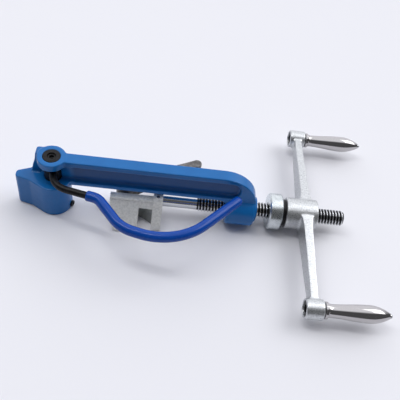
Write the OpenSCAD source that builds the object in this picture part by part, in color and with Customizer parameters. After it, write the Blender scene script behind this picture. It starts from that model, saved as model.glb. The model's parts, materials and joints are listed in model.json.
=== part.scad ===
// Strapping tensioner: a C-shaped frame with a cutter at its nose, a band gripper on a
// long screw, and a two-armed windlass that winds the screw through the frame.
// The tool lies on its nose, gripper and thrust collar, on the plane z = 0.
// +X runs from the nose to the windlass, +Y to the gripper lever, +Z up.
// Lengths along X are given from the cutter axis, heights from the screw axis.

/* [Frame] */
// Distance from the cutter axis to the outer face of the frame's leg
frame_len = 204; // [196:1:212]
// Height of the top of the arm above the screw axis
arm_top = 47.7; // [46:0.1:52]
// Height of the underside of the arm above the screw axis
arm_bottom = 15.3; // [14.5:0.1:16]
// Half the width of the arm's two flanges
arm_half_w = 6.4; // [5.5:0.1:6.8]
// Thickness of the arm's upper flange
top_flange = 6.5; // [5:0.1:8]
// Thickness of the arm's lower flange
low_flange = 4.9; // [4:0.1:6]
// Half the thickness of the web between the flanges
web_half = 1.8; // [1.2:0.1:3]
// Radius of the outside corner where the arm turns into the leg
corner_r = 36; // [24:1:38]
// Outer radius of the barrel that guides the screw
barrel_r = 17.5; // [16:0.1:18]
// Length of the barrel
barrel_len = 29; // [24:1:32]

/* [Nose and cutter] */
// Radius of the round part of the nose
nose_r = 17.5; // [16:0.1:18.5]
// Height of the top of the nose above the screw axis
nose_top = 21; // [20.4:0.1:23]
// Height of the screw axis above the plane the tool rests on
rest_h = 19; // [18.9:0.1:20]
// Reach of the nose beyond the cutter axis
nose_reach = 36; // [32:1:40]
// Radius of the cutter shaft
shaft_r = 8.5; // [7.5:0.1:9]
// Radius of the eye that carries the top of the cutter shaft
eye_r = 14; // [12.5:0.1:15]
// Thickness of the slot the steel band runs through
band_slot = 2.5; // [1.6:0.1:3]
// Height of the slot the steel band runs through
band_h = 22; // [18:1:24]

/* [Cutter lever] */
// Radius of the steel rod
rod_r = 3.5; // [3:0.1:3.9]
// Outer radius of the plastic grip
grip_r = 5.1; // [4.5:0.1:6]
// Radius of the lever's main bow
bow_r = 62; // [50:1:66]

/* [Tension screw] */
// Outer radius of the thread
screw_r = 8; // [7.5:0.1:8]
// Distance between neighbouring threads
pitch = 3.2; // [2.5:0.1:4]
// Depth of the thread
thread_depth = 1.3; // [1:0.1:1.5]
// Radius of the plain shank
shank_r = 6.6; // [6:0.1:6.7]
// Length of the thread
thread_len = 155; // [150:1:156]

/* [Gripper] */
// Length of the gripper block along the screw
block_len = 53; // [50:1:56]
// Reach of the block's sloping front from the screw axis
block_front = 32; // [28:1:34]
// Radius of the eccentric cam on the gripper lever
cam_r = 9.5; // [8.5:0.1:9.8]
// Length of the gripper lever from its pin to its tip
thumb_len = 79; // [60:1:82]

/* [Windlass] */
// Distance from the screw axis to each handle's axis
handle_offset = 111.4; // [95:1:120]
// Outer radius of the hub
hub_r = 16.2; // [15.5:0.1:17]
// Length of the hub
hub_len = 33; // [30:1:34]
// Radius of the boss at the end of each arm
boss_r = 9.9; // [9:0.1:11]
// Length of each boss
boss_len = 17.8; // [15:1:19]
// Outer radius of the thrust collar
collar_r = 18.8; // [18:0.1:18.8]
// Width of the thrust collar
collar_len = 13.6; // [13.4:0.1:14.6]

/* [Handles] */
// Length of each turning handle
handle_len = 63.4; // [57:0.1:66]
// Radius of the handle at its widest
handle_bulge = 8.7; // [8:0.1:9.2]
// Radius of the stud that each handle turns on
stud_r = 3.6; // [3:0.1:3.8]

/* [Hidden] */
$fn = 64;
RUN = 0.06;            // radial running clearance
FIT = 0.03;            // radial clearance of pieces that don't turn
GAP = 0.4;             // clearance between flat faces that move

// heights, from the screw axis
low_top = arm_bottom + low_flange;
web_top = arm_top - top_flange;
lever_z = (nose_top + web_top) / 2;

// places across the tool
nose_y = -2.3;             // middle of the round part of the nose
band_y = -2.75;            // middle of the band

// places along X, from the cutter axis
leg_left = frame_len - barrel_len;
pad_len = 2.5;
pad_face = frame_len + pad_len;
collar_x = pad_face + 12.6;
shoulder_x = collar_x + collar_len;
hub_x = shoulder_x + 4.4;
boss_x = hub_x + 12.4;
arm_x = boss_x + boss_len / 2;
root_x = boss_x + boss_len;
washer_t = 0.8;
handle_x = root_x + washer_t + 0.2;
stud_head_r = 2.6;       // the stud's riveted end stands out of the handle's tip
stud_head_x = handle_x + handle_len;
tip_x = stud_head_x + stud_head_r;
screw_end = 299.5;
thread_x = screw_end - thread_len;
block_x = 57;
block_right = block_x + block_len;
column_x = block_right - 9.5;
window_x = column_x - 14;
shank_x = column_x + 0.6;

// the plane z = 0 and the middle of the whole length
mid_x = (tip_x - nose_reach) / 2;

module place() translate([-mid_x, 0, rest_h]) children();

// a cylinder, tube or turned shape along +X, starting at x
module along_x(x) translate([x, 0, 0]) rotate([0, 90, 0]) children();

module tube_x(x, len, outer, inner) {
    difference() {
        along_x(x) cylinder(h = len, r = outer);
        along_x(x - 1) cylinder(h = len + 2, r = inner);
    }
}

// a bar along X with a chamfered rim at both ends
module chamfered_x(x, len, r, c) {
    along_x(x) rotate_extrude()
        polygon([[0, 0], [r - c, 0], [r, c], [r, len - c], [r - c, len], [0, len]]);
}

// ---- the frame: one painted casting ----

function arc(centre, r, from, to, steps) =
    [for (i = [0 : steps]) let (a = from + (to - from) * i / steps)
        centre + r * [cos(a), sin(a)]];

// side view of the arm, its corner and its leg
module frame_outline() {
    inner_r = 9;
    difference() {
        union() {
            translate([0, arm_bottom]) square([frame_len, arm_top - arm_bottom]);
            translate([leg_left, 0]) square([barrel_len, arm_top]);
            // inside corner between the arm and the leg
            difference() {
                translate([leg_left - inner_r, arm_bottom - inner_r]) square(inner_r + 1);
                translate([leg_left - inner_r, arm_bottom - inner_r]) circle(r = inner_r);
            }
        }
        // outside corner
        translate([frame_len - corner_r, arm_top - corner_r]) difference() {
            square(corner_r + 1);
            circle(r = corner_r);
        }
    }
}

// the hollow between the flanges, ending round inside the corner
pocket_x = 20;
module web_pocket(side) {
    finish = frame_len - 18;
    end_r = (web_top - low_top) / 2;
    translate([0, side > 0 ? arm_half_w + 1 : -web_half, 0]) rotate([90, 0, 0])
        linear_extrude(arm_half_w - web_half + 1) union() {
            translate([pocket_x, low_top]) square([finish - pocket_x - end_r, 2 * end_r]);
            translate([finish - end_r, low_top + end_r]) circle(r = end_r);
        }
}

// plan of the nose: a round, drawn out to a flat cheek that meets the buckle
module nose_plan() {
    union() {
        translate([0, nose_y]) circle(r = nose_r);
        polygon([[-8.8, -17.4], [-21.5, -9.9], [2 - nose_reach, -6.6], [-nose_reach, -4.8],
                 [-nose_reach, 0], [1.5 - nose_reach, 2], [-22, 7.2], [-9, 12.7]]);
    }
}

module frame() {
    eye_t = top_flange + 1.6;
    post_in = shaft_r + 4.5;
    slot_h = web_top - 1 - nose_top;
    color("#2763ad") place() difference() {
        union() {
            translate([0, arm_half_w, 0]) rotate([90, 0, 0])
                linear_extrude(2 * arm_half_w) frame_outline();
            translate([0, 0, -rest_h]) linear_extrude(nose_top + rest_h) nose_plan();
            translate([0, 0, web_top - 1]) cylinder(h = eye_t, r = eye_r);
            // post that ties the eye to the nose, on the side the lever never reaches
            translate([0, 12, 0]) rotate([90, 0, 0]) linear_extrude(9.5)
                polygon([[-21.5, nose_top - 1], [-20, nose_top + 8], [-17.6, web_top - 4],
                         [-16.4, arm_top - 2], [-14.5, arm_top - 0.6], [-6, arm_top - 0.6],
                         [-6, nose_top - 1]]);
            chamfered_x(leg_left, barrel_len, barrel_r, 1.2);
            along_x(frame_len - 1) cylinder(h = pad_len + 1, r = 13);
        }
        web_pocket(1);
        web_pocket(-1);
        // room for the lever between the nose and the eye; the web closes it off behind
        translate([0, 0, nose_top]) difference() {
            cylinder(h = slot_h, r = post_in);
            translate([0, -web_half, -1]) cube([20, 40, slot_h + 2]);
        }
        translate([0, -20 - web_half, nose_top]) cube([pocket_x, 20, slot_h]);
        // bore for the cutter shaft, blind at the bottom
        translate([0, 0, -rest_h + 4]) cylinder(h = 80, r = shaft_r + RUN);
        // slot for the band, open at both ends of the nose
        translate([-60, band_y - band_slot / 2, -band_h / 2]) cube([100, band_slot, band_h]);
        // bore for the bush that guides the screw
        along_x(leg_left - 2) cylinder(h = barrel_len + 10, r = screw_r + 3);
        retaining_screw_hole();
    }
}

module screw_bush() {
    color("#a98246") place()
        tube_x(leg_left + 0.5, barrel_len + pad_len - 1, screw_r + 3 - FIT, screw_r + RUN);
}

// ---- the screw that holds the cutter shaft down by its groove ----

retain_z = -14.2;
retain_angle = -18;        // its direction, degrees from +X
retain_r = 2.5;
module at_retaining_screw() translate([0, 0, retain_z]) rotate([0, 90, retain_angle]) children();

module retaining_screw_hole() {
    at_retaining_screw() cylinder(h = 30, r = retain_r + FIT);
}

module shaft_retaining_screw() {
    tip = shaft_r - 1.4;
    seat = nose_r + nose_y * sin(retain_angle) + 0.05;
    head_t = 1.9;
    head_r = 3.4;
    socket_r = 1.8;
    color("#1d1e20") place() at_retaining_screw() difference() {
        union() {
            translate([0, 0, tip]) cylinder(h = seat - tip + 1, r = retain_r);
            translate([0, 0, seat]) cylinder(h = head_t, r = head_r);
        }
        translate([0, 0, seat - 0.6]) cylinder(h = head_t + 1, r = socket_r, $fn = 6);
    }
}

// ---- cutter shaft and its lever ----

module cutter_shaft() {
    groove_depth = 1.8;
    color("#26272a") place() difference() {
        translate([0, 0, -rest_h + 4.3])
            cylinder(h = rest_h - 4.3 + arm_top + 0.6, r = shaft_r);
        // slot for the band, in line with the nose slot when the lever is closed
        translate([-20, band_y - band_slot / 2, -band_h / 2]) cube([40, band_slot, band_h]);
        // groove for the retaining screw
        translate([0, 0, retain_z - 2.8]) difference() {
            cylinder(h = 5.6, r = shaft_r + 1);
            translate([0, 0, -1]) cylinder(h = 7.6, r = shaft_r - groove_depth);
        }
        // socket for the rod, and the threaded hole down to it
        translate([0, 0, lever_z]) rotate([0, 90, heading(lever_root, lever_bends[0][0])])
            translate([0, 0, -4]) cylinder(h = 20, r = rod_r + FIT);
        translate([0, 0, lever_z]) cylinder(h = 40, r = 4.2 + FIT);
    }
}

module lever_set_screw() {
    foot = lever_z + rod_r + 0.05;
    color("#1d1e20") place() difference() {
        translate([0, 0, foot]) cylinder(h = arm_top - 0.6 - foot, r = 4.2);
        translate([0, 0, arm_top - 3.6]) cylinder(h = 4, r = 2.6, $fn = 6);
    }
}

// centre line of the lever: its ends, and its corners with their bend radii
lever_root = [0, 0];
lever_bends = [[[4.8, -23], 20], [[48.5, -32.4], 14], [[73.4, -63.3], 34],
               [[125.9, -76.4], bow_r]];
grip_bends = [lever_bends[1], lever_bends[2], lever_bends[3]];
lever_tip = [185.4, -14.6];
grip_start = lever_bends[0][0] + 0.74 * (lever_bends[1][0] - lever_bends[0][0]);

function way(a, b) = (b - a) / norm(b - a);
function heading(a, b) = atan2(b[1] - a[1], b[0] - a[0]);
function turn_at(a, c, b) = let (t = heading(c, b) - heading(a, c))
    t > 180 ? t - 360 : (t < -180 ? t + 360 : t);
function reach_of(a, c, b, r) = r * tan(abs(turn_at(a, c, b)) / 2);

// a straight length; seat runs its ends a little way into the bends, just under their skin
seat = 0.3;
module straight_bar(a, b, r) {
    from = a - way(a, b) * seat;
    translate([from[0], from[1], lever_z]) rotate([0, 90, heading(a, b)])
        cylinder(h = norm(b - a) + 2 * seat, r = r - 0.02);
}

module bent_bar(a, c, b, bend, r) {
    t = turn_at(a, c, b);
    enter = c - way(a, c) * reach_of(a, c, b, bend);
    side = t > 0 ? 1 : -1;
    centre = enter + side * bend * [-way(a, c)[1], way(a, c)[0]];
    translate([centre[0], centre[1], lever_z])
        rotate([0, 0, heading(a, c) - side * 90 + (t < 0 ? t : 0)])
            rotate_extrude(angle = abs(t)) translate([bend, 0]) circle(r = r);
}

// a round bar from first to last, bent to a radius at each corner
module routed_bar(first, bends, last, r) {
    count = len(bends);
    spots = [first, for (b = bends) b[0], last];
    for (i = [1 : count]) bent_bar(spots[i - 1], spots[i], spots[i + 1], bends[i - 1][1], r);
    for (i = [0 : count]) {
        back = i == 0 ? 0 : reach_of(spots[i - 1], spots[i], spots[i + 1], bends[i - 1][1]);
        ahead = i == count ? 0 : reach_of(spots[i], spots[i + 1], spots[i + 2], bends[i][1]);
        line = way(spots[i], spots[i + 1]);
        straight_bar(spots[i] + line * back, spots[i + 1] - line * ahead, r);
    }
}

last_way = way(lever_bends[3][0], lever_tip);
rod_end = lever_tip - 4 * last_way;
module lever_rod() {
    color("#232427") place() routed_bar(lever_root, lever_bends, rod_end, rod_r);
}

module lever_grip() {
    over = lever_tip - grip_r * last_way;
    color("#1747b5") place() difference() {
        union() {
            routed_bar(grip_start, grip_bends, over, grip_r);
            translate([over[0], over[1], lever_z]) sphere(r = grip_r);
        }
        routed_bar(grip_start - 3 * way(grip_start, lever_bends[1][0]),
                   grip_bends, rod_end, rod_r + FIT);
    }
}

// ---- tension screw: plain shank, then thread drawn as rings at the thread's pitch ----

module tension_screw() {
    turns = floor((screw_end - 1.5 - thread_x) / pitch);
    root_r = screw_r - thread_depth;
    color("#b9bcc0") place() along_x(0) rotate_extrude() polygon(concat(
        [[0, shank_x], [shank_r - 0.8, shank_x], [shank_r, shank_x + 0.8],
         [shank_r, pin_x - 2.1], [groove_r, pin_x - 2.1],
         [groove_r, pin_x + 2.1], [shank_r, pin_x + 2.1], [shank_r, thread_x]],
        [for (i = [0 : turns - 1], p = [[root_r, 0], [screw_r, 0.25], [screw_r, 0.55],
                                        [root_r, 0.8]])
            [p[0], thread_x + (i + p[1]) * pitch]],
        [[root_r, thread_x + turns * pitch], [screw_r - 0.8, screw_end - 0.8],
         [screw_r - 1.6, screw_end], [0, screw_end]]));
}

// ---- gripper ----

pin_x = column_x + 4.4;
pin_y = -6.75;
pin_r = 1.9;
groove_r = 4.75;
jaw_y = band_y - band_slot / 2 + 0.5;
pivot = [71, jaw_y + 1.2 + cam_r];
base_z = -17.6;
base_t = 5;

// end view of the block: a narrow top, a sloping front and a flat foot
module block_section(back, top, front, foot_z) {
    polygon([[back, top], [-10.5, top], [-11.3, top - 1.2], [-10.7, top - 2.2],
             [-front, foot_z + 3], [-front, foot_z], [back, foot_z]]);
}

module section_along_x(x, length) {
    translate([x, 0, 0]) rotate([90, 0, 90]) linear_extrude(length) children();
}

module gripper_block() {
    foot = -rest_h;
    scoop_top = 1.5;
    color("#a9aca6") place() difference() {
        union() {
            section_along_x(block_x, block_len) block_section(jaw_y, 8.5, block_front, foot);
            // column that takes the end of the screw, with its guide under the arm
            section_along_x(column_x, block_right - column_x)
                polygon([[10.5, -11], [10.5, 7.5], [6, 11.5], [-10, 12.6], [-12, 10],
                         [-14.5, 4.5], [-28.5, -13.5], [-28.5, foot], [-6, foot], [-6, -11]]);
            // base that carries the gripper lever's pin
            translate([block_x + 2, jaw_y - 3, foot]) cube([block_len - 2, 3, base_t + 1.4]);
            translate([block_x + 2, jaw_y - 1, foot])
                cube([30, pivot[1] - jaw_y + 1, base_z - foot + base_t]);
            translate([pivot[0], pivot[1], foot]) cylinder(h = base_z - foot + base_t, r = 12);
        }
        // scoop beside the column, open to the front and below
        translate([0, 0, foot - 1]) linear_extrude(scoop_top - foot + 1)
            polygon([[window_x, -60], [window_x, -9.8], [window_x + 5, -12.4],
                     [column_x, -18.6], [column_x, -60]]);
        // the foot is cut back on a slant toward the column
        translate([window_x - 0.5, -block_front - 1, foot - 1])
            linear_extrude(40) polygon([[0, 0], [40, 0], [40, 9], [0, 4]]);
        // the left edge leans in toward the foot
        translate([block_x - 1, -block_front - 1, foot - 1]) linear_extrude(40)
            polygon([[-1, 0], [7, 0], [1, block_front - 9.5], [-1, block_front - 9.5]]);
        // socket for the shank, and the cross pin's hole
        along_x(column_x - 10) cylinder(h = 40, r = shank_r + FIT);
        translate([pin_x, pin_y, -40]) cylinder(h = 80, r = pin_r + FIT);
        // hole for the gripper lever's pin, with room for its clip below
        translate([pivot[0], pivot[1], -40]) cylinder(h = 60, r = 3 + FIT);
        translate([pivot[0], pivot[1], -rest_h - 1]) cylinder(h = 3, r = 6);
    }
}

module cross_pin() {
    color("#5c5f63") place() translate([pin_x, pin_y, -10.5]) cylinder(h = 22.4, r = pin_r);
}

module gripper_pivot_pin() {
    color("#8e9194") place() translate([pivot[0], pivot[1], 0]) difference() {
        union() {
            translate([0, 0, -rest_h + 0.5]) cylinder(h = rest_h - 0.5 + 11, r = 3);
            translate([0, 0, 10.9]) cylinder(h = 2.2, r = 4.6);
        }
        translate([0, 0, -rest_h + 0.9]) difference() {
            cylinder(h = 0.9, r = 4);
            translate([0, 0, -1]) cylinder(h = 3, r = 2.3);
        }
    }
}

module pivot_clip() {
    color("#3a3c40") place() translate([pivot[0], pivot[1], -rest_h + 0.95]) difference() {
        cylinder(h = 0.8, r = 5);
        translate([0, 0, -1]) cylinder(h = 3, r = 2.35);
        translate([-1.6, 0, -1]) cube([3.2, 10, 3]);
    }
}

thumb_angle = 25.5;      // the lever's direction at rest, degrees from +X
cam_low = base_z + base_t + GAP;
cam_top = 7.5;
module gripper_lever() {
    thumb_low = 3.5;
    thumb_top = 15.8;
    tip_r = 5;
    tip_half = 4.8;
    lift = 24;
    color("#4d443e") place() translate([pivot[0], pivot[1], 0]) difference() {
        rotate([0, 0, thumb_angle]) union() {
            translate([0, 0, cam_low]) cylinder(h = cam_top - cam_low, r = cam_r);
            translate([0, 0, -3]) linear_extrude(cam_top + 3)
                polygon([[0, -8.8], [lift + 8, -4.4], [lift + 8, 4.4], [0, 8.8]]);
            translate([lift, 0, thumb_low]) linear_extrude(thumb_top - thumb_low) union() {
                polygon([[0, -3.6], [thumb_len - lift, -tip_half],
                         [thumb_len - lift, tip_half], [0, 3.6]]);
                translate([thumb_len - lift, 0]) circle(r = tip_r);
            }
        }
        translate([0, 0, -40]) cylinder(h = 80, r = 3 + RUN);
    }
}

module gripper_spring() {
    wire = 0.7;
    coils = 2;
    color("#7f8286") place() translate([pivot[0], pivot[1], cam_top + 0.3 + wire]) {
        for (i = [0 : coils - 1]) translate([0, 0, i * (2 * wire - 0.06)])
            rotate_extrude() translate([4.1, 0]) circle(r = wire);
        translate([0, -4.1, 0]) rotate([0, 90, thumb_angle]) cylinder(h = 17, r = wire);
    }
}

// ---- thrust bearing between the frame and the windlass ----

spigot_r = 10;
ball_r = 2;
ball_circle = 12.8;
ball_count = 12;
wall_x = collar_x + 3;
step_x = wall_x + 2;
race_t = (collar_len - 5 - 2 * ball_r) / 2;
ball_x = step_x + race_t + ball_r;
far_race_x = ball_x + ball_r;

module thrust_collar() {
    color("#b4b7b8") place() difference() {
        chamfered_x(collar_x, collar_len, collar_r, 1.4);
        along_x(collar_x - 1) cylinder(h = 30, r = screw_r + 0.7);
        along_x(wall_x) cylinder(h = 30, r = 12.2);
        along_x(step_x) cylinder(h = 30, r = 15.6);
    }
}

module fixed_race() {
    color("#c4c7ca") place() tube_x(step_x + 0.02, race_t - 0.02, 15.55, spigot_r + 0.3);
}

module thrust_balls() {
    color("#d4d6d8") place() for (i = [0 : ball_count - 1])
        along_x(ball_x) rotate([0, 0, i * 360 / ball_count])
            translate([ball_circle, 0, 0]) sphere(r = ball_r - 0.02);
}

module ball_cage() {
    color("#b08a45") place() difference() {
        tube_x(ball_x - 0.7, 1.4, 15.3, spigot_r + 0.3);
        for (i = [0 : ball_count - 1]) along_x(ball_x - 5) rotate([0, 0, i * 360 / ball_count])
            translate([ball_circle, 0, 0]) cylinder(h = 10, r = ball_r + 0.05);
    }
}

module turning_race() {
    color("#c4c7ca") place()
        tube_x(far_race_x, shoulder_x - far_race_x - 0.05, 15.3, spigot_r + FIT);
}

ring_x = wall_x + 0.5;
module retaining_ring() {
    color("#3a3c40") place() difference() {
        tube_x(ring_x, 1.1, 11.7, 9.25);
        translate([ring_x - 1, -1.5, 0]) cube([4, 3, 20]);
    }
}

// ---- windlass ----

nut_r = 12;
module tension_nut() {
    color("#6d6f72") place() difference() {
        union() {
            along_x(wall_x + 0.3) cylinder(h = shoulder_x - wall_x, r = spigot_r);
            along_x(shoulder_x) cylinder(h = hub_x - shoulder_x, r = 13.4);
            along_x(shoulder_x + 1) cylinder(h = hub_x + hub_len - shoulder_x - 1.4, r = nut_r);
        }
        along_x(0) cylinder(h = 400, r = screw_r + RUN);
        difference() {
            along_x(ring_x - 0.05) cylinder(h = 1.2, r = 30);
            along_x(ring_x - 1) cylinder(h = 3, r = 9.2);
        }
        for (side = [-1, 1]) nut_pin(side, nut_pin_r + FIT, hub_r);
    }
}

// two pins, either side of the hub's underside, key the nut in the hub
nut_pin_x = hub_x + 6.5;
nut_pin_r = 2.5;
nut_pin_low = 9.2;         // distance of the pins' inner ends from the screw axis
nut_pin_angle = 40;        // each pin's angle from straight down
module nut_pin(side, r, high) {
    translate([nut_pin_x, 0, 0]) rotate([180 + side * nut_pin_angle, 0, 0])
        translate([0, 0, nut_pin_low]) cylinder(h = high - nut_pin_low, r = r);
}

module nut_pins() {
    color("#3a3c40") place() for (side = [-1, 1]) nut_pin(side, nut_pin_r, hub_r - 0.3);
}

// one arm seen from above, tapering from the hub to its boss
module arm_plan(side) {
    root_half = 7;
    mid_half = 4.6;
    end_half = 3.6;
    polygon([[arm_x - root_half, 0], [arm_x - mid_half, side * 24],
             [arm_x - end_half, side * handle_offset], [arm_x + end_half, side * handle_offset],
             [arm_x + mid_half, side * 24], [arm_x + root_half, 0]]);
}

// both arms seen from the end of the screw: tall at the hub, lower at the bosses
module arm_height() {
    root_y = 10.2;
    root_h = 12.6;
    end_h = 6.5;
    polygon([[-handle_offset, -end_h], [-root_y, -root_h],
             [root_y, -root_h], [handle_offset, -end_h],
             [handle_offset, end_h], [root_y, root_h],
             [-root_y, root_h], [-handle_offset, end_h]]);
}

module windlass() {
    nut_seat = 7.6;
    color("#989c9e") place() difference() {
        union() {
            chamfered_x(hub_x, hub_len, hub_r, 1);
            intersection() {
                translate([0, 0, -hub_r]) linear_extrude(2 * hub_r) union() {
                    arm_plan(1);
                    arm_plan(-1);
                }
                rotate([90, 0, 90]) linear_extrude(400) arm_height();
            }
            for (side = [-1, 1]) translate([0, side * handle_offset, 0])
                chamfered_x(boss_x, boss_len, boss_r, 0.9);
        }
        along_x(hub_x - 1) cylinder(h = hub_len + 2, r = nut_r + FIT);
        for (side = [-1, 1]) {
            nut_pin(side, nut_pin_r + FIT, hub_r + 5);
            translate([0, side * handle_offset, 0]) {
                along_x(boss_x - 1) cylinder(h = 40, r = stud_r + FIT);
                along_x(boss_x - 1) cylinder(h = 5.6, r = nut_seat);
            }
        }
    }
}

// the stud steps down inside the handle, to a thin end that is riveted over at the tip
stud_end_r = 1.8;
step_at = 44;
module handle_stud(side) {
    step = handle_x + step_at;
    color("#c9ccd0") place() translate([0, side * handle_offset, 0]) along_x(0) rotate_extrude()
        polygon(concat([[0, boss_x + 0.9], [stud_r, boss_x + 0.9], [stud_r, step],
                        [stud_end_r, step], [stud_end_r, stud_head_x - 0.1],
                        [stud_head_r, stud_head_x - 0.1]],
                       arc([0, stud_head_x], stud_head_r, 0, 90, 8)));
}

module handle_stud_near() handle_stud(-1);
module handle_stud_far() handle_stud(1);

module stud_nuts() {
    color("#2b2c2f") place() for (side = [-1, 1]) translate([0, side * handle_offset, 0])
        difference() {
            along_x(boss_x + 1.2) cylinder(h = 3.3, r = 7.2, $fn = 6);
            along_x(boss_x) cylinder(h = 6, r = stud_r + FIT);
        }
}

module handle_washers() {
    color("#202124") place() for (side = [-1, 1]) translate([0, side * handle_offset, 0])
        tube_x(root_x + 0.05, washer_t, 7, stud_r + FIT);
}

// turned grip: a collar, a neck, a long swelling and a quick taper to the tip
module handle(side) {
    s = handle_len - GAP;
    collar = 8.2;
    neck = 6.5;
    tip = 3.1;
    swell = 0.66;          // where along the grip it is widest
    color("#cfd2d6") place() translate([0, side * handle_offset, 0]) along_x(handle_x)
        difference() {
            rotate_extrude() polygon(concat(
                [[0, 0], [collar - 0.6, 0], [collar, 0.6], [collar, 2.8], [collar - 0.9, 3.6]],
                [for (i = [0 : 24]) let (t = i / 24)
                    [neck + (handle_bulge - neck) * (1 - cos(180 * min(t / swell, 1))) / 2
                         - (handle_bulge - tip) * pow(max(t - swell, 0) / (1 - swell), 2),
                     4.8 + (s - 4.8) * t]],
                [[0, s]]));
            translate([0, 0, -1]) cylinder(h = step_at + GAP + 1, r = stud_r + RUN);
            cylinder(h = s + 2, r = stud_end_r + RUN);
        }
}

module handle_near() handle(-1);
module handle_far() handle(1);

frame();
screw_bush();
shaft_retaining_screw();
cutter_shaft();
lever_rod();
lever_grip();
lever_set_screw();
tension_screw();
gripper_block();
cross_pin();
gripper_pivot_pin();
pivot_clip();
gripper_lever();
gripper_spring();
thrust_collar();
fixed_race();
thrust_balls();
ball_cage();
turning_race();
retaining_ring();
tension_nut();
nut_pins();
windlass();
handle_stud_near();
handle_stud_far();
stud_nuts();
handle_washers();
handle_near();
handle_far();
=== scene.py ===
"""Looks for a strapping tensioner: a blue cast frame with a cutter in its nose, a band gripper on a
long screw, and a two-armed windlass with turning handles. Lengths are in metres."""

import json
import math

import bmesh
import bpy
from mathutils import Matrix, Vector


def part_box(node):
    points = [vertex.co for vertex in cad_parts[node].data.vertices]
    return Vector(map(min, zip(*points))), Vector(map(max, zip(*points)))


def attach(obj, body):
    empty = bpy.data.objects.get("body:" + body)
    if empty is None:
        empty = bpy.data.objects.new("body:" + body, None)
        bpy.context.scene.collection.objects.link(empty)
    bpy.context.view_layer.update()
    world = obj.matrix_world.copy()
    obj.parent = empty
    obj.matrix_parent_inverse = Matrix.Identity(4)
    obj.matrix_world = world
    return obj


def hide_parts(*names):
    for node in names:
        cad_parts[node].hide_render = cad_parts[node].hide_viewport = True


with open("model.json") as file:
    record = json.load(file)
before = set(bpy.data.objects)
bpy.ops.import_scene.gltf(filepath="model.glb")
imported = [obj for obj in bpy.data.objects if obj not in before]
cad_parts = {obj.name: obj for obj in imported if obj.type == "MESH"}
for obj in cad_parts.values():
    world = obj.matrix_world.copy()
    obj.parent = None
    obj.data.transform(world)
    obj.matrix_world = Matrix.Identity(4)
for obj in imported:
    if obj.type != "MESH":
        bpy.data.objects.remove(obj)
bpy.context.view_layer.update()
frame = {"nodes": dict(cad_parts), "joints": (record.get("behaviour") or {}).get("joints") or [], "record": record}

MM = 0.001

record = frame["record"]
node_slot = {part["node"]: part["material_slot"] for part in record["subparts"]}
node_body = {node: body for body, nodes in record["behaviour"]["bodies"].items() for node in nodes}
joints = {joint["name"]: joint for joint in frame["joints"]}
screw_z = joints["windlass_turn"]["pos_m"][2]        # height of the tension screw's axis
cut_x = joints["cutter_lever_swing"]["pos_m"][0]     # the cutter shaft stands upright here, at y = 0
pitch = record["behaviour"]["couplings"][0]["ratio"] * 2 * math.pi
thread_length = 155 * MM
thread_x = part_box("tension_screw")[1].x - thread_length


# ---- camera, lights and floor ----

def look(yaw, down, roll, target, distance):
    """A camera matrix that looks at target, turned right by yaw, tipped down and then rolled."""
    forward = Vector((math.sin(yaw) * math.cos(down), math.cos(yaw) * math.cos(down), -math.sin(down)))
    level = Vector((math.cos(yaw), -math.sin(yaw), 0))
    over = level.cross(forward)
    right = level * math.cos(roll) + over * math.sin(roll)
    up = right.cross(forward)
    matrix = Matrix((right, up, -forward)).transposed().to_4x4()
    matrix.translation = Vector(target) - forward * distance
    return matrix


def add_camera():
    """The photo's view: from above the cutter lever's side, with the windlass on the right."""
    data = bpy.data.cameras.new("camera")
    data.lens = 52.26
    data.sensor_width = 36
    data.clip_start = 0.01
    camera = bpy.data.objects.new("camera", data)
    bpy.context.scene.collection.objects.link(camera)
    camera.matrix_world = look(math.radians(7.08), math.radians(50.38), math.radians(11.5),
                               (0.0012, 0.0203, 0), 0.628)
    bpy.context.scene.camera = camera


def add_softbox(name, place, width, height, power):
    """A rectangular light that faces the middle of the tool."""
    data = bpy.data.lights.new(name, "AREA")
    data.shape = "RECTANGLE"
    data.size = width
    data.size_y = height
    data.energy = power
    light = bpy.data.objects.new(name, data)
    light.location = place
    light.rotation_euler = (-Vector(place)).to_track_quat("-Z", "Y").to_euler()
    bpy.context.scene.collection.objects.link(light)


def add_lights():
    # the key is large and far away, up on the windlass's side of the tool
    add_softbox("key", (3.2, 1.3, 3.6), 3.2, 3.2, 85)
    # the strip is narrow and hangs beyond the nose, and gives round pieces a thin line of light
    add_softbox("strip", (-0.5, 0.1, 1.5), 0.12, 1.2, 5)


def add_world(bright, dim):
    """A bright sky that reaches from behind the tool over it, and is dim low down in front."""
    world = bpy.data.worlds.new("studio")
    world.use_nodes = True
    nodes, links = world.node_tree.nodes, world.node_tree.links
    direction = nodes.new("ShaderNodeTexCoord").outputs["Generated"]
    height = nodes.new("ShaderNodeVectorMath")
    height.operation = "DOT_PRODUCT"
    height.inputs[1].default_value = (0.0, 0.9, 1.0)
    links.new(direction, height.inputs[0])
    level = nodes.new("ShaderNodeMapRange")
    level.interpolation_type = "SMOOTHSTEP"
    level.inputs["From Min"].default_value = 0.50
    level.inputs["From Max"].default_value = 0.92
    level.inputs["To Min"].default_value = dim
    level.inputs["To Max"].default_value = bright
    links.new(height.outputs["Value"], level.inputs["Value"])
    background = nodes["Background"]
    background.inputs["Color"].default_value = (0.95, 0.96, 1.0, 1)
    links.new(level.outputs["Result"], background.inputs["Strength"])
    bpy.context.scene.world = world


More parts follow.
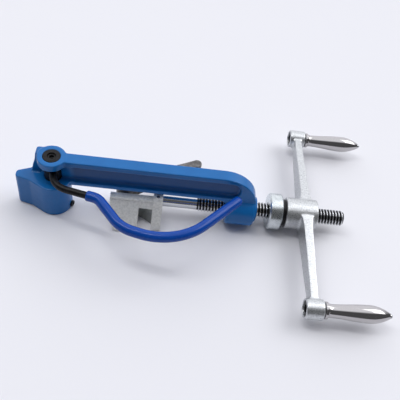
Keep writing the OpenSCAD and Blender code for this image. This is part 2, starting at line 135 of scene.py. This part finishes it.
def add_floor():
    half = 20.0
    mesh = bpy.data.meshes.new("floor")
    corners = [(-half, -half, 0), (half, -half, 0), (half, half, 0), (-half, half, 0)]
    mesh.from_pydata(corners, [], [(0, 1, 2, 3)])
    floor = bpy.data.objects.new("floor", mesh)
    bpy.context.scene.collection.objects.link(floor)
    material = bpy.data.materials.new("floor")
    material.use_nodes = True
    shader = material.node_tree.nodes["Principled BSDF"]
    shader.inputs["Base Color"].default_value = (0.80, 0.80, 0.845, 1)
    shader.inputs["Roughness"].default_value = 0.6
    shader.inputs["Specular IOR Level"].default_value = 0.3
    mesh.materials.append(material)


# ---- materials ----

class Paint:
    """A node material with one Principled shader, in object coordinates, so its grain has its real size."""

    def __init__(self, name, metallic, roughness=0.5):
        self.material = bpy.data.materials.new(name)
        self.material.use_nodes = True
        self.nodes = self.material.node_tree.nodes
        self.links = self.material.node_tree.links
        self.shader = self.nodes["Principled BSDF"]
        self.shader.inputs["Metallic"].default_value = metallic
        self.shader.inputs["Roughness"].default_value = roughness
        self.place = self.nodes.new("ShaderNodeTexCoord").outputs["Object"]
        self.normal = None

    def set(self, **values):
        for socket, value in values.items():
            self.shader.inputs[socket.replace("_", " ")].default_value = value

    def stretched(self, scale):
        mapping = self.nodes.new("ShaderNodeMapping")
        mapping.inputs["Scale"].default_value = scale
        self.links.new(self.place, mapping.inputs["Vector"])
        return mapping.outputs["Vector"]

    def noise(self, size, detail=3.0, roughness=0.55, stretch=(1, 1, 1)):
        node = self.nodes.new("ShaderNodeTexNoise")
        node.inputs["Scale"].default_value = 1 / size
        node.inputs["Detail"].default_value = detail
        node.inputs["Roughness"].default_value = roughness
        self.links.new(self.stretched(stretch), node.inputs["Vector"])
        return node.outputs["Fac"]

    def cells(self, size):
        node = self.nodes.new("ShaderNodeTexVoronoi")
        node.inputs["Scale"].default_value = 1 / size
        self.links.new(self.place, node.inputs["Vector"])
        return node.outputs["Distance"]

    def ramp(self, fac, low, high, start=0.35, end=0.65):
        """Goes from low to high as fac goes from start to end, and stays level beyond."""
        node = self.nodes.new("ShaderNodeMapRange")
        node.inputs["From Min"].default_value = start
        node.inputs["From Max"].default_value = end
        node.inputs["To Min"].default_value = low
        node.inputs["To Max"].default_value = high
        self.links.new(fac, node.inputs["Value"])
        return node.outputs["Result"]

    def blend_colors(self, fac, first, second, start=0.35, end=0.65):
        node = self.nodes.new("ShaderNodeValToRGB")
        node.color_ramp.elements[0].position = start
        node.color_ramp.elements[0].color = (*first, 1)
        node.color_ramp.elements[1].position = end
        node.color_ramp.elements[1].color = (*second, 1)
        self.links.new(fac, node.inputs["Fac"])
        self.links.new(node.outputs["Color"], self.shader.inputs["Base Color"])

    def product(self, first, second):
        node = self.nodes.new("ShaderNodeMath")
        node.operation = "MULTIPLY"
        self.links.new(first, node.inputs[0])
        self.links.new(second, node.inputs[1])
        return node.outputs["Value"]

    def band(self, value, low, high, soft):
        """One where the value lies from low to high, and zero beyond, over a soft edge."""
        return self.product(self.ramp(value, 0, 1, low - soft, low),
                            self.ramp(value, 1, 0, high, high + soft))

    def axes(self):
        node = self.nodes.new("ShaderNodeSeparateXYZ")
        self.links.new(self.place, node.inputs["Vector"])
        return node.outputs

    def inside(self, x, y, z):
        """One inside a box, and zero beyond it. Each axis has its (low, high, soft edge)."""
        axes = self.axes()
        level = self.product(self.band(axes["X"], *x), self.band(axes["Y"], *y))
        return self.product(level, self.band(axes["Z"], *z))

    def tint_where(self, mask, color):
        """Lays another colour over the base colour where the mask is one."""
        node = self.nodes.new("ShaderNodeMix")
        node.data_type = "RGBA"
        node.inputs["B"].default_value = (*color, 1)
        base = self.shader.inputs["Base Color"]
        self.links.new(base.links[0].from_socket, node.inputs["A"])
        self.links.new(mask, node.inputs["Factor"])
        self.links.new(node.outputs["Result"], base)

    def vary_roughness(self, fac, low, high):
        self.links.new(self.ramp(fac, low, high), self.shader.inputs["Roughness"])

    def bump(self, height, depth, strength=1.0):
        """Adds relief: depth is the real height of the grain in metres."""
        node = self.nodes.new("ShaderNodeBump")
        node.inputs["Strength"].default_value = strength
        node.inputs["Distance"].default_value = depth
        self.links.new(height, node.inputs["Height"])
        if self.normal:
            self.links.new(self.normal, node.inputs["Normal"])
        self.normal = node.outputs["Normal"]
        self.links.new(self.normal, self.shader.inputs["Normal"])


def blue_paint():
    """Paint over a casting. The arm's recessed web, between its flanges, carries painted shade: its colour is
    darker than the rest.
    """
    paint = Paint("blue_paint", 0.0)
    paint.set(Coat_Weight=0.3, Coat_Roughness=0.08, Specular_IOR_Level=0.2)
    paint.blend_colors(paint.noise(18 * MM), (0.003, 0.130, 0.405), (0.004, 0.142, 0.435))
    # painted shade: the recessed web between the flanges is coloured darker, where shade falls in the recess
    web = paint.inside(x=(cut_x + 22 * MM, cut_x + 183 * MM, 5 * MM), y=(-3 * MM, 3 * MM, 2.5 * MM),
                       z=(screw_z + 22 * MM, screw_z + 39 * MM, 2 * MM))
    paint.tint_where(web, (0.0008, 0.066, 0.235))
    paint.vary_roughness(paint.noise(5 * MM), 0.30, 0.40)
    paint.bump(paint.noise(7 * MM, 2), 0.06 * MM, 0.6)
    paint.bump(paint.noise(1.6 * MM, 2), 0.012 * MM, 0.5)
    return paint.material


def blue_sleeve():
    paint = Paint("blue_sleeve", 0.0)
    paint.set(Coat_Weight=0.4, Coat_Roughness=0.04, Specular_IOR_Level=0.1)
    paint.blend_colors(paint.noise(9 * MM), (0.002, 0.054, 0.33), (0.003, 0.062, 0.36))
    paint.vary_roughness(paint.noise(3 * MM), 0.20, 0.28)
    paint.bump(paint.noise(4 * MM, 2), 0.06 * MM, 0.6)
    paint.bump(paint.noise(0.7 * MM, 2), 0.012 * MM, 0.5)
    return paint.material


def black_steel():
    paint = Paint("black_steel", 0.0)
    paint.set(Specular_IOR_Level=0.2)
    paint.blend_colors(paint.noise(4 * MM), (0.005, 0.005, 0.006), (0.014, 0.014, 0.016))
    paint.vary_roughness(paint.noise(1.5 * MM), 0.26, 0.42)
    paint.bump(paint.noise(0.5 * MM), 0.02 * MM, 0.6)
    return paint.material


def dark_steel():
    paint = Paint("dark_steel", 0.85)
    paint.blend_colors(paint.noise(5 * MM, 4), (0.10, 0.096, 0.095), (0.20, 0.194, 0.193))
    paint.vary_roughness(paint.noise(2 * MM), 0.34, 0.52)
    paint.bump(paint.noise(0.6 * MM), 0.04 * MM, 0.6)
    return paint.material


def bright_steel():
    paint = Paint("bright_steel", 1.0)
    paint.blend_colors(paint.noise(3 * MM), (0.52, 0.53, 0.55), (0.66, 0.67, 0.69))
    paint.vary_roughness(paint.noise(0.5 * MM, 3, 0.6, (8, 1, 1)), 0.16, 0.30)
    paint.bump(paint.noise(0.25 * MM, 2, 0.5, (6, 1, 1)), 0.006 * MM, 0.5)
    return paint.material


def threaded_steel():
    """Bright steel with painted shade in the thread: its colour turns dark towards the roots, where shade falls
    between the flanks.
    """
    root, crest = 7.3 * MM, 7.9 * MM
    paint = Paint("threaded_steel", 1.0)
    offset = paint.nodes.new("ShaderNodeVectorMath")
    offset.operation = "SUBTRACT"
    offset.inputs[1].default_value = (0, 0, screw_z)
    paint.links.new(paint.stretched((0, 1, 1)), offset.inputs[0])
    from_axis = paint.nodes.new("ShaderNodeVectorMath")
    from_axis.operation = "LENGTH"
    paint.links.new(offset.outputs["Vector"], from_axis.inputs[0])
    threaded = paint.ramp(paint.axes()["X"], 0, 1, thread_x, thread_x + 1 * MM)
    deep = paint.ramp(from_axis.outputs["Value"], 1, 0, root, crest)
    # painted shade: the colour is dark in the thread's roots, where shade falls between the flanks
    root_shade = paint.product(threaded, deep)
    paint.blend_colors(root_shade, (0.66, 0.67, 0.69), (0.035, 0.036, 0.04), 0.1, 0.9)
    paint.vary_roughness(paint.noise(0.5 * MM, 3, 0.6, (8, 1, 1)), 0.12, 0.2)
    paint.bump(paint.noise(0.25 * MM, 2, 0.5, (6, 1, 1)), 0.004 * MM, 0.5)
    return paint.material


def spring_steel():
    paint = Paint("spring_steel", 1.0, 0.3)
    paint.blend_colors(paint.noise(2 * MM), (0.24, 0.25, 0.27), (0.36, 0.37, 0.39))
    paint.bump(paint.noise(0.3 * MM), 0.006 * MM, 0.5)
    return paint.material


def rough_zinc():
    """Zinc over a rough casting. The scoop in the gripper's front carries painted shade: its colour is darker than
    the rest.
    """
    paint = Paint("rough_zinc", 0.3)
    paint.blend_colors(paint.noise(2.2 * MM, 4), (0.70, 0.705, 0.675), (0.86, 0.86, 0.83))
    column_wide = 9.5 * MM
    column_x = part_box("gripper_block")[1].x - column_wide
    # painted shade: the scoop's walls below the block's column are coloured darker, where shade falls
    scoop = paint.inside(x=(column_x - 13.6 * MM, column_x - 0.4 * MM, 0.2 * MM),
                         y=(-33 * MM, -8 * MM, 0.5 * MM), z=(0, screw_z + 1.2 * MM, 0.2 * MM))
    paint.tint_where(scoop, (0.22, 0.235, 0.23))
    paint.vary_roughness(paint.noise(0.9 * MM), 0.38, 0.6)
    paint.bump(paint.noise(1.3 * MM, 4, 0.65), 0.16 * MM, 0.7)
    paint.bump(paint.cells(0.6 * MM), 0.05 * MM, 0.5)
    return paint.material


def cast_zinc():
    paint = Paint("cast_zinc", 0.9)
    paint.blend_colors(paint.noise(1.6 * MM, 4), (0.50, 0.515, 0.53), (0.66, 0.675, 0.69))
    paint.vary_roughness(paint.noise(0.8 * MM), 0.26, 0.46)
    paint.bump(paint.noise(1.1 * MM, 4, 0.6), 0.13 * MM, 0.7)
    paint.bump(paint.cells(0.5 * MM), 0.03 * MM, 0.5)
    return paint.material


def turned_zinc():
    paint = Paint("turned_zinc", 1.0)
    paint.blend_colors(paint.noise(4 * MM), (0.59, 0.63, 0.645), (0.69, 0.73, 0.745))
    paint.vary_roughness(paint.noise(0.6 * MM, 3, 0.6, (8, 1, 1)), 0.2, 0.34)
    paint.bump(paint.noise(0.35 * MM, 2, 0.5, (6, 1, 1)), 0.012 * MM, 0.6)
    return paint.material


def handle_chrome():
    paint = Paint("handle_chrome", 1.0)
    paint.set(Base_Color=(0.50, 0.485, 0.49, 1))
    paint.vary_roughness(paint.noise(0.8 * MM, 3, 0.6, (6, 1, 1)), 0.07, 0.15)
    paint.bump(paint.noise(0.5 * MM, 2, 0.5, (6, 1, 1)), 0.004 * MM, 0.5)
    return paint.material


def bronze():
    paint = Paint("bronze", 1.0, 0.35)
    paint.blend_colors(paint.noise(3 * MM), (0.42, 0.27, 0.10), (0.56, 0.38, 0.16))
    paint.bump(paint.noise(0.4 * MM), 0.01 * MM, 0.5)
    return paint.material


def black_nylon():
    paint = Paint("black_nylon", 0.0)
    paint.set(Base_Color=(0.022, 0.022, 0.024, 1))
    paint.vary_roughness(paint.noise(1 * MM), 0.42, 0.58)
    paint.bump(paint.noise(0.4 * MM), 0.01 * MM, 0.5)
    return paint.material


finishes = {maker.__name__: maker() for maker in (
    blue_paint, blue_sleeve, black_steel, dark_steel, bright_steel, threaded_steel, spring_steel,
    rough_zinc, cast_zinc, turned_zinc, handle_chrome, bronze, black_nylon)}


# ---- making pieces ----

def new_piece(name, mesh):
    piece = bpy.data.objects.new(name, mesh)
    bpy.context.scene.collection.objects.link(piece)
    return piece


def settle(piece):
    """Bakes the piece's modifiers into its mesh and shades it smooth."""
    evaluated = piece.evaluated_get(bpy.context.evaluated_depsgraph_get())
    mesh = bpy.data.meshes.new_from_object(evaluated)
    piece.modifiers.clear()
    piece.data = mesh
    mesh.shade_smooth()


def stands_for(piece, node, finish=None):
    """The piece takes a CAD node's place: its body, its slot and its finish."""
    piece.data.materials.clear()
    piece.data.materials.append(finishes[finish or node_slot[node]])
    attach(piece, node_body[node])
    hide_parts(node)


def remesh(piece, voxel):
    modifier = piece.modifiers.new("remesh", "REMESH")
    modifier.mode = "VOXEL"
    modifier.voxel_size = voxel
    settle(piece)


def grow(piece, amount):
    modifier = piece.modifiers.new("grow", "DISPLACE")
    modifier.strength = amount
    modifier.mid_level = 0
    settle(piece)


def roughen(piece, depth, size):
    """Gives the surface the shallow lumps of a casting."""
    texture = bpy.data.textures.new(piece.name + "_lumps", "CLOUDS")
    texture.noise_scale = size
    modifier = piece.modifiers.new("roughen", "DISPLACE")
    modifier.strength = depth
    modifier.mid_level = 0.5
    modifier.texture = texture
    modifier.texture_coords = "GLOBAL"
    settle(piece)


def soften(piece, rounds):
    modifier = piece.modifiers.new("soften", "SMOOTH")
    modifier.factor = 0.5
    modifier.iterations = rounds
    settle(piece)


def cast_copy(name, node, voxel, rounds, fillet=0, lump=0, lump_size=0):
    """A casting or forging: the node's shape with filled inside corners and worn outside corners."""
    mesh = frame["nodes"][node].data.copy()
    piece = new_piece(name, mesh)
    shell = bmesh.new()
    shell.from_mesh(mesh)
    bmesh.ops.remove_doubles(shell, verts=shell.verts, dist=1e-6)
    shell.to_mesh(mesh)
    shell.free()
    remesh(piece, voxel)
    if fillet:
        grow(piece, fillet)
        remesh(piece, voxel)
        grow(piece, -fillet)
        remesh(piece, voxel)
    soften(piece, rounds)
    if lump:
        roughen(piece, lump, lump_size)
    stands_for(piece, node)


def fillet_path(corners, closed=False, steps=6):
    """Rounds a flat outline: corners lists (x, y, radius), and each corner becomes an arc."""
    count = len(corners)
    points = []
    for i, (x, y, radius) in enumerate(corners):
        here = Vector((x, y))
        if not radius or (not closed and i in (0, count - 1)):
            points.append(here)
            continue
        before = (Vector(corners[i - 1][:2]) - here).normalized()
        after = (Vector(corners[(i + 1) % count][:2]) - here).normalized()
        half = before.angle(after) / 2
        reach = radius / math.tan(half)
        middle = here + (before + after).normalized() * radius / math.sin(half)
        start = here + before * reach - middle
        turn = start.angle_signed(here + after * reach - middle)
        points += [middle + Matrix.Rotation(-turn * k / steps, 2) @ start for k in range(steps + 1)]
    return points


def across(x, y, z, heading=0):
    """Where a turned piece goes when its axis is level: along +X, or turned from it by heading."""
    return Matrix.Translation((x, y, z)) @ Matrix.Rotation(heading, 4, "Z")


def upright(x, y, z):
    """Where a turned piece goes when its axis points up."""
    return Matrix.Translation((x, y, z)) @ Matrix.Rotation(-math.pi / 2, 4, "Y")


def ring_radius(radius, angle, flats):
    """The distance from the axis at an angle, on a circle or on a hexagon of that half width."""
    return radius / math.cos(angle % (math.pi / 3) - math.pi / 6) if flats else radius


def turned(name, corners, place, closed=False, segments=96, hexagon=()):
    """A turned solid. corners lists (distance along the axis, radius, fillet) of its outline, which
    meets the axis at both ends unless it is closed. A stretch of the axis whose radius is in
    hexagon is cut with six flats."""
    outline = fillet_path(corners, closed)
    mesh = bmesh.new()
    rings = []
    for x, radius in outline:
        if radius < 1e-7:
            rings.append([mesh.verts.new((x, 0, 0))])
            continue
        flats = any(abs(radius - width) < 1e-7 for width in hexagon)
        rings.append([])
        for k in range(segments):
            angle = 2 * math.pi * k / segments
            far = ring_radius(radius, angle, flats)
            rings[-1].append(mesh.verts.new((x, far * math.cos(angle), far * math.sin(angle))))
    for one, two in zip(rings, rings[1:] + ([rings[0]] if closed else [])):
        for k in range(segments):
            ring = [one[k % len(one)], one[(k + 1) % len(one)],
                    two[(k + 1) % len(two)], two[k % len(two)]]
            face = list(dict.fromkeys(ring))
            if len(face) > 2:
                mesh.faces.new(face)
    return finished(name, mesh, place)


def finished(name, mesh, place=Matrix.Identity(4), sharp_degrees=35):
    bmesh.ops.recalc_face_normals(mesh, faces=mesh.faces)
    data = bpy.data.meshes.new(name)
    mesh.to_mesh(data)
    mesh.free()
    data.transform(place)
    data.shade_smooth()
    data.set_sharp_from_angle(angle=math.radians(sharp_degrees))
    return new_piece(name, data)


def swept(name, path, radii, segments=32):
    """A round bar along a nearly level path, with a radius at each point."""
    mesh = bmesh.new()
    rings = []
    for i, point in enumerate(path):
        ahead = (path[min(i + 1, len(path) - 1)] - path[max(i - 1, 0)]).normalized()
        side = ahead.cross(Vector((0, 0, 1))).normalized()
        over = side.cross(ahead)
        rings.append([])
        for k in range(segments):
            angle = 2 * math.pi * k / segments
            rings[-1].append(mesh.verts.new(
                point + radii[i] * (side * math.cos(angle) + over * math.sin(angle))))
    for one, two in zip(rings, rings[1:]):
        for k in range(segments):
            after = (k + 1) % segments
            mesh.faces.new([one[k], one[after], two[after], two[k]])
    mesh.faces.new(rings[0])
    mesh.faces.new(rings[-1])
    return finished(name, mesh, sharp_degrees=50)


def joined(name, pieces):
    mesh = bmesh.new()
    for piece in pieces:
        mesh.from_mesh(piece.data)
        bpy.data.objects.remove(piece)
    return finished(name, mesh)


# ---- frame, cutter shaft and their screws ----

def make_frame():
    cast_copy("frame_casting", "frame", 0.5 * MM, rounds=5, fillet=1.2 * MM,
              lump=0.12 * MM, lump_size=7 * MM)


def make_cutter_shaft():
    cast_copy("shaft_turning", "cutter_shaft", 0.25 * MM, rounds=2)


def make_retaining_screw():
    """A socket screw in the nose. Its tip reaches into the shaft's groove, and its head stands out."""
    low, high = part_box("shaft_retaining_screw")
    heading, tip_reach = math.radians(-18), 7.1 * MM
    length, radius = 11.16 * MM, 2.5 * MM
    head_length, head_radius, socket = 1.9 * MM, 3.4 * MM, 1.55 * MM
    top = length + head_length
    socket_end = top - head_length * 0.7
    place = across(cut_x, 0, (low.z + high.z) / 2, heading) @ Matrix.Translation((tip_reach, 0, 0))
    screw = turned("retaining_screw", [
        (0, 0, 0), (0, radius - 0.5 * MM, 0), (0.5 * MM, radius, 0), (length, radius, 0),
        (length, head_radius, 0.25 * MM), (top, head_radius, 0.5 * MM), (top, socket * 1.25, 0.1 * MM),
        (top - 0.25 * MM, socket, 0), (socket_end, socket, 0), (socket_end - 0.6 * MM, 0, 0)],
        place, hexagon=(socket,))
    stands_for(screw, "shaft_retaining_screw")


def make_set_screw():
    """The socket screw without a head in the shaft's end, which holds the lever's rod."""
    low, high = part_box("lever_set_screw")
    length, radius = high.z - low.z, (high.x - low.x) / 2
    chamfer, socket = 0.6 * MM, 2.25 * MM
    screw = turned("set_screw", [
        (0, 0, 0), (0, radius - chamfer, 0), (chamfer, radius, 0), (length - chamfer, radius, 0.2 * MM),
        (length, radius - chamfer, 0.1 * MM), (length, 2.8 * MM, 0.1 * MM),
        (length - 0.3 * MM, socket, 0), (length - 3 * MM, socket, 0), (length - 3.8 * MM, 0, 0)],
        upright(cut_x, 0, low.z), hexagon=(socket,))
    stands_for(screw, "lever_set_screw")


# ---- cutter lever: a bent rod with a dipped sleeve ----

# centre line in millimetres from the cutter shaft's axis: (x, y, bend radius) of its ends and corners
lever_corners = [(0, 0, 0), (4.8, -23, 20), (48.5, -32.4, 14), (73.4, -63.3, 34), (125.9, -76.4, 62),
                 (185.4, -14.6, 0)]


def walk(path):
    """Distances along a path, one for each point."""
    total = [0]
    for one, two in zip(path, path[1:]):
        total.append(total[-1] + (two - one).length)
    return total


def point_along(path, total, distance):
    i = next((n for n in range(1, len(total) - 1) if total[n] >= distance), len(total) - 1)
    share = (distance - total[i - 1]) / (total[i] - total[i - 1])
    return path[i - 1].lerp(path[i], share)


def make_lever():
    low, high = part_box("lever_rod")
    level = (low.z + high.z) / 2
    corners = [(x * MM, y * MM, radius * MM) for x, y, radius in lever_corners]
    path = [Vector((cut_x + x, y, level)) for x, y in fillet_path(corners, steps=40)]
    total = walk(path)
    rod_r = (high.z - low.z) / 2
    rod_end = total[-1] - 4 * MM        # inside the sleeve's round end
    stops = [rod_end * k / 160 for k in range(161)]
    rod = swept("rod", [point_along(path, total, s) for s in stops], [rod_r] * len(stops))
    stands_for(rod, "lever_rod")
    sleeve_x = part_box("lever_grip")[0].x + 1.3 * MM
    make_sleeve(path, total, min(stops, key=lambda s: abs(point_along(path, total, s).x - sleeve_x)))


def make_sleeve(path, total, start):
    """The sleeve runs along the path from start to the end, with a thinner lip and a round end."""
    low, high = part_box("lever_grip")
    grip_r = (high.z - low.z) / 2
    lip, lip_thinner = 1.8 * MM, 0.9 * MM
    end = total[-1]
    rounds = 10
    spots = [start + lip * (1 - math.cos(math.pi / 2 * k / rounds)) for k in range(rounds)]
    spots += [start + lip + (end - grip_r - start - lip) * k / 150 for k in range(150)]
    spots += [end - grip_r + grip_r * math.sin(math.pi / 2 * k / rounds) for k in range(rounds + 1)]

    def radius(s):
        if s < start + lip:
            return grip_r - lip_thinner * (1 - math.sqrt(max(0, 1 - ((start + lip - s) / lip) ** 2)))
        if s > end - grip_r:
            return max(0.02 * MM, math.sqrt(max(0, grip_r ** 2 - (s - end + grip_r) ** 2)))
        return grip_r

    sleeve = swept("sleeve", [point_along(path, total, s) for s in spots], [radius(s) for s in spots], 40)
    stands_for(sleeve, "lever_grip")


# ---- tension screw, with a right-hand helical thread ----

def make_screw():
    low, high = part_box("tension_screw")
    outer = (high.z - low.z) / 2
    root_r = outer - 1.3 * MM
    shank_r, shank_chamfer, thread_chamfer = 6.6 * MM, 0.8 * MM, 1.6 * MM
    groove_r, groove_half = 4.75 * MM, 2.1 * MM
    pin_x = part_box("cross_pin")[0].x + 1.9 * MM
    around = 48
    # one turn of the thread: (share of the pitch, share of the thread's depth)
    profile = [(0.0, 0), (0.06, 0), (0.25, 0.9), (0.30, 1), (0.50, 1), (0.55, 0.9), (0.74, 0), (0.87, 0)]

    def radius(x, height):
        if x < low.x + shank_chamfer:
            return shank_r - (low.x + shank_chamfer - x)
        if x < thread_x:
            return groove_r if abs(x - pin_x) < groove_half else shank_r
        grown = min(1, (x - thread_x) / pitch)
        whole = root_r + (outer - root_r) * height * grown
        return min(whole, outer - max(0, x - (high.x - thread_chamfer)))

    first = math.floor((low.x - thread_x) / pitch) - 1
    last = math.ceil((high.x - thread_x) / pitch)
    mesh = bmesh.new()
    rows = []
    for turn in range(first, last + 1):
        for share, height in profile:
            rows.append([])
            for k in range(around):
                angle = 2 * math.pi * k / around
                x = thread_x + (turn + share + k / around) * pitch
                x = min(max(x, low.x), high.x)
                far = radius(x, height)
                rows[-1].append(mesh.verts.new((x, far * math.cos(angle), far * math.sin(angle) + screw_z)))
    per_turn = len(profile)
    for i in range(len(rows) - per_turn - 1):
        for k in range(around):
            one, two = rows[i], rows[i + 1]
            if k + 1 < around:
                mesh.faces.new([one[k], one[k + 1], two[k + 1], two[k]])
            else:
                mesh.faces.new([one[k], rows[i + per_turn][0], rows[i + per_turn + 1][0], two[k]])
    bmesh.ops.remove_doubles(mesh, verts=mesh.verts, dist=0.002 * MM)
    bmesh.ops.dissolve_degenerate(mesh, edges=mesh.edges, dist=0.002 * MM)
    bmesh.ops.holes_fill(mesh, edges=[e for e in mesh.edges if e.is_boundary], sides=0)
    screw = finished("screw_thread", mesh, sharp_degrees=30)
    stands_for(screw, "tension_screw", "threaded_steel")


# ---- gripper ----

def make_gripper():
    cast_copy("gripper_casting", "gripper_block", 0.25 * MM, rounds=2, lump=0.25 * MM, lump_size=4 * MM)
    cast_copy("thumb_lever", "gripper_lever", 0.35 * MM, rounds=4, fillet=0.8 * MM,
              lump=0.1 * MM, lump_size=6 * MM)


def make_cross_pin():
    """A hollow pin across the screw, which holds the block on it."""
    low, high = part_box("cross_pin")
    middle = (low + high) / 2
    outer, inner, length = (high.x - low.x) / 2, 0.95 * MM, high.z - low.z
    pin = turned("roll_pin", [
        (0, inner, 0.1 * MM), (0, outer, 0.35 * MM), (length, outer, 0.35 * MM), (length, inner, 0.1 * MM)],
        upright(middle.x, middle.y, low.z), closed=True, segments=48)
    stands_for(pin, "cross_pin")


def make_pivot_pin():
    """The gripper lever's pin, with a domed head on top and a groove for the clip below."""
    low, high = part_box("gripper_pivot_pin")
    middle = (low + high) / 2
    length, head, shank = high.z - low.z, (high.x - low.x) / 2, 3 * MM
    groove, groove_start, groove_end = 2.3 * MM, 0.4 * MM, 1.3 * MM
    under_head = length - 2.2 * MM
    pin = turned("pivot_pin", [
        (0, 0, 0), (0, shank, 0.5 * MM), (groove_start, shank, 0), (groove_start, groove, 0),
        (groove_end, groove, 0), (groove_end, shank, 0), (under_head, shank, 0),
        (under_head, head, 0.2 * MM), (length, head, 1.2 * MM), (length, 0, 0)],
        upright(middle.x, middle.y, low.z))
    stands_for(pin, "gripper_pivot_pin")


def make_spring():
    """A torsion spring: a leg along the lever, then nearly two and a half coils round the pivot pin."""
    low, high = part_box("gripper_pivot_pin")
    pivot = (low + high) / 2
    low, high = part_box("gripper_spring")
    wire, coil, leg = 0.6 * MM, 4.1 * MM, 13.5 * MM
    turns, steps, leg_steps = 2.4, 120, 6
    base = low.z + wire
    rise = high.z - wire - base
    heading = math.radians(25.5)
    along = Vector((math.cos(heading), math.sin(heading), 0))
    middle = Vector((pivot.x, pivot.y, base))
    coils = []
    for k in range(steps + 1):
        angle = heading - math.pi / 2 - 2 * math.pi * turns * k / steps
        coils.append(middle + Vector((coil * math.cos(angle), coil * math.sin(angle), rise * k / steps)))
    path = [coils[0] + along * leg * (1 - k / leg_steps) for k in range(leg_steps)] + coils
    stands_for(swept("torsion_spring", path, [wire] * len(path), 12), "gripper_spring")


# ---- thrust collar, nut and windlass ----

def make_collar():
    """A ring with two steps inside: a narrow bore at the frame's side, and the bearing's room beyond."""
    low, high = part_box("thrust_collar")
    outer = (high.z - low.z) / 2
    wide = high.x - low.x
    chamfer, soft = 1.4 * MM, 0.35 * MM
    bore, step, room = 8.7 * MM, 12.2 * MM, 15.6 * MM
    step_x, room_x = 3 * MM, 5 * MM
    collar = turned("collar_ring", [
        (0, bore, 0.3 * MM), (0, outer - chamfer, soft), (chamfer, outer, soft),
        (wide - chamfer, outer, soft), (wide, outer - chamfer, soft), (wide, room, 0.2 * MM),
        (room_x, room, 0), (room_x, step, 0), (step_x, step, 0), (step_x, bore, 0)],
        across(low.x, 0, screw_z), closed=True, segments=128)
    stands_for(collar, "thrust_collar")


def make_windlass():
    cast_copy("windlass_casting", "windlass", 0.45 * MM, rounds=4, fillet=2.2 * MM,
              lump=0.16 * MM, lump_size=4 * MM)


# ---- turning handles on their studs ----

# each stud is thinner beyond a step, which lies this far from the handle's root
STUD_R, STUD_END_R, STUD_STEP = 3.6 * MM, 1.8 * MM, 44 * MM


def handle_outline(length, bulge):
    """From the root collar over a neck and a long swelling to the tip, then back along the bore.
    The handle is widest at a share of the way from the neck to the tip."""
    collar, neck, tip, clear = 8.2 * MM, 6.5 * MM, 3.1 * MM, 0.06 * MM
    collar_end, cove, start = 2.8 * MM, 3.7 * MM, 4.8 * MM
    widest, steps = 0.66, 44
    outline = [(0, STUD_R + clear, 0), (0, collar - 0.5 * MM, 0.2 * MM), (0.5 * MM, collar, 0.2 * MM),
               (collar_end, collar, 0.5 * MM), (cove, neck + 0.5 * MM, 0.5 * MM)]
    for i in range(1, steps + 1):
        t = i / steps
        swell = (1 - math.cos(math.pi * min(t / widest, 1))) / 2
        fall = (max(t - widest, 0) / (1 - widest)) ** 2
        outline.append((start + (length - start) * t,
                        neck + (bulge - neck) * swell - (bulge - tip) * fall, 0))
    bore_end = STUD_STEP + 0.4 * MM
    outline += [(length, STUD_END_R + clear, 0), (bore_end, STUD_END_R + clear, 0),
                (bore_end, STUD_R + clear, 0)]
    return outline


def make_handles():
    for side in ("near", "far"):
        y = joints[f"handle_{side}_spin"]["pos_m"][1]
        low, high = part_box(f"handle_{side}")
        grip = turned(f"turned_grip_{side}", handle_outline(high.x - low.x, (high.z - low.z) / 2),
                      across(low.x, y, screw_z), closed=True, segments=128)
        stands_for(grip, f"handle_{side}")
        step_x = low.x + STUD_STEP
        low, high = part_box(f"handle_stud_{side}")
        start_x = low.x + 2.4 * MM        # the end of the stud stays back inside its nut
        length, step, head_r = high.x - start_x, step_x - start_x, 2.6 * MM
        under_head = length - head_r - 0.1 * MM
        stud = turned(f"stud_{side}", [
            (0, 0, 0), (0, STUD_R, 0.4 * MM), (step, STUD_R, 0), (step, STUD_END_R, 0),
            (under_head, STUD_END_R, 0), (under_head, head_r, 0), (length, head_r, head_r - 0.01 * MM),
            (length, 0, 0)], across(start_x, y, screw_z))
        stands_for(stud, f"handle_stud_{side}")


def make_stud_nuts():
    """Two hexagon nuts with chamfered outer faces. flat is half the width across the flats."""
    low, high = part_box("stud_nuts")
    thick, flat, hole = high.x - low.x, 6.2 * MM, 3.63 * MM
    chamfer, hole_chamfer = 0.5 * MM, 0.3 * MM
    nuts = []
    for side in ("near", "far"):
        y = joints[f"handle_{side}_spin"]["pos_m"][1]
        nuts.append(turned(f"nut_{side}", [
            (0, hole + hole_chamfer, 0), (0, flat - chamfer, 0), (chamfer, flat, 0), (thick, flat, 0),
            (thick, hole, 0), (hole_chamfer, hole, 0)], across(low.x, y, screw_z), closed=True,
            hexagon=(flat,)))
    stands_for(joined("boss_nuts", nuts), "stud_nuts")


def finish_cad_nodes():
    """The CAD nodes that still show keep their shape and take their slot's material."""
    for node, piece in frame["nodes"].items():
        piece.data.materials.clear()
        piece.data.materials.append(finishes[node_slot[node]])
        piece.data.shade_smooth()
        piece.data.set_sharp_from_angle(angle=math.radians(35))


add_camera()
add_world(bright=1.22, dim=0.11)
add_floor()
add_lights()
bpy.context.scene.view_settings.view_transform = "Standard"

finish_cad_nodes()
make_frame()
make_cutter_shaft()
make_retaining_screw()
make_set_screw()
make_lever()
make_screw()
make_gripper()
make_cross_pin()
make_pivot_pin()
make_spring()
make_collar()
make_windlass()
make_handles()
make_stud_nuts()
